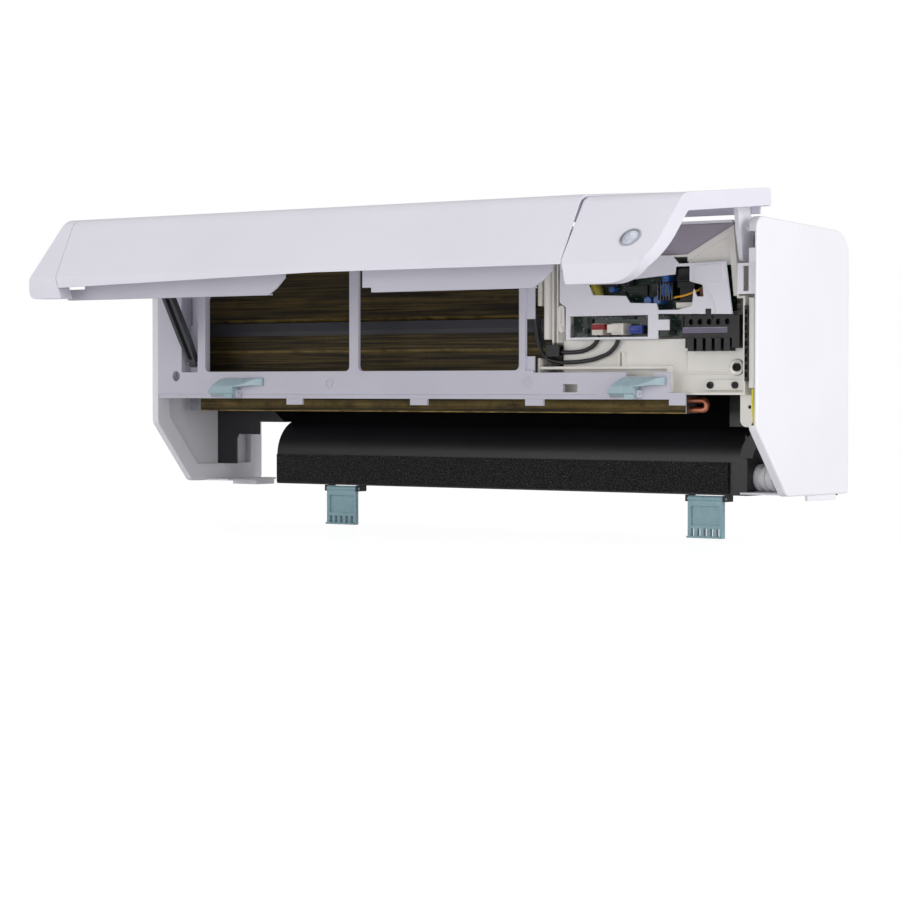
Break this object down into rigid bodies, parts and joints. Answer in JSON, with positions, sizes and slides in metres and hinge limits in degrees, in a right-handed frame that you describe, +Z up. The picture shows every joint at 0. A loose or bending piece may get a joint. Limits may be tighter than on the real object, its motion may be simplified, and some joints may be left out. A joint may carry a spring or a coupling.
{
  "type": "air conditioner indoor unit",
  "caption": "Wall-hung indoor unit of a mini split air conditioner with its front panel propped open, showing coil, fan outlet and electrical box",
  "frame": {"origin": "centre of the rear face of the mounting plate, on the wall", "axes": "+X along the width to the right seen from the room, +Y into the wall, +Z up"},
  "size_m": [0.845, 0.385, 0.3638],
  "materials": {
    "white_case": "white satin plastic",
    "white_frame": "white matt plastic with a cool shade",
    "ivory": "ivory matt plastic",
    "dark_case": "dark grey moulded plastic",
    "teal": "grey-green satin plastic",
    "foam": "black open-cell foam",
    "fins": "golden coated aluminium fins",
    "strip": "grey strip",
    "galvanised": "galvanised sheet",
    "copper": "bare copper tube",
    "hose": "white flexible plastic",
    "rod": "dark grey plastic",
    "steel": "zinc plated steel",
    "board": "green circuit board lacquer",
    "components": "blue and black component cases",
    "film": "yellow film",
    "black_plastic": "black plastic",
    "plug": "white and red plug housings",
    "label": "bare grey strip",
    "wire_black": "black sleeve",
    "wire_yellow": "yellow sleeve",
    "wire_earth": "yellow sleeve with a green stripe",
    "lens": "milky blue-grey lens",
    "gasket": "black soft plastic"
  },
  "bodies": {
    "casing": {"left_side_panel": "white_case", "right_side_panel": "white_case", "top_grille": "white_case", "front_frame": "white_frame", "mounting_plate": "galvanised", "rear_casing": "dark_case", "foam_strip": "foam", "frame_screws": "steel", "rod_pin": "steel", "hx_front_lower": "fins", "hx_front_upper": "fins", "hx_rear": "fins", "hx_joint_strip": "strip", "hx_end_plates": "galvanised", "hx_return_bends": "copper", "gas_pipe": "copper", "liquid_pipe": "copper", "fan_bearing": "black_plastic", "fan_motor": "dark_case", "motor_bracket": "ivory", "ebox_tray": "ivory", "ebox_cover": "white_frame", "ebox_rain_shield": "galvanised", "main_pcb": "board", "pcb_components": "components", "pcb_capacitors": "components", "film_capacitor": "film", "pcb_transformer": "black_plastic", "pcb_connectors": "plug", "terminal_block": "black_plastic", "terminal_screws": "steel", "terminal_label": "label", "tray_screws": "steel", "cable_clamp": "black_plastic", "thermistor_clip": "ivory", "side_gasket": "gasket", "earth_bracket": "ivory", "earth_wire": "wire_earth", "harness_lead_a": "wire_black", "harness_lead_b": "wire_black", "yellow_leads": "wire_yellow", "side_bracket": "dark_case", "drain_hose": "hose"},
    "panel": {"front_panel": "white_case", "panel_left_cap": "white_case", "sensor_fascia": "white_case", "inner_skirts": "white_frame", "left_hinge_arm": "white_case", "right_hinge_arm": "white_case", "rod_catch": "white_frame", "sensor_ring": "black_plastic", "sensor_lens": "lens", "sensor_board": "board"},
    "prop_rod": {"support_rod": "rod"},
    "fan": {"fan_impeller": "black_plastic", "fan_shaft": "steel"},
    "left_lever": {"left_frame_lever": "teal"},
    "right_lever": {"right_frame_lever": "teal"},
    "left_clip": {"left_hanging_clip": "teal"},
    "right_clip": {"right_hanging_clip": "teal"}
  },
  "joints": [
    {"name": "panel_hinge", "type": "hinge", "parent": "casing", "child": "panel", "pos_m": [0, -0.166, 0.127], "axis": [1, 0, 0], "range_deg": [0, 66]},
    {"name": "rod_hinge", "type": "hinge", "parent": "casing", "child": "prop_rod", "pos_m": [-0.361, -0.177, -0.0084], "axis": [1, 0, 0], "range_deg": [-29.61, 0]},
    {"name": "fan_spin", "type": "hinge", "parent": "casing", "child": "fan", "pos_m": [0, -0.07, 0], "axis": [1, 0, 0], "continuous": true},
    {"name": "left_lever_hinge", "type": "hinge", "parent": "casing", "child": "left_lever", "pos_m": [-0.301, -0.189, -0.044], "axis": [1, 0, 0], "range_deg": [0, 60]},
    {"name": "right_lever_hinge", "type": "hinge", "parent": "casing", "child": "right_lever", "pos_m": [0.263, -0.189, -0.044], "axis": [1, 0, 0], "range_deg": [0, 60]},
    {"name": "left_clip_hinge", "type": "hinge", "parent": "casing", "child": "left_clip", "pos_m": [-0.205, -0.09, -0.156], "axis": [1, 0, 0], "range_deg": [-95, 0]},
    {"name": "right_clip_hinge", "type": "hinge", "parent": "casing", "child": "right_clip", "pos_m": [0.301, -0.09, -0.156], "axis": [1, 0, 0], "range_deg": [-95, 0]}
  ],
  "couplings": [
    {"joint": "rod_hinge", "follows": "panel_hinge", "ratio": -0.44848}
  ]
}
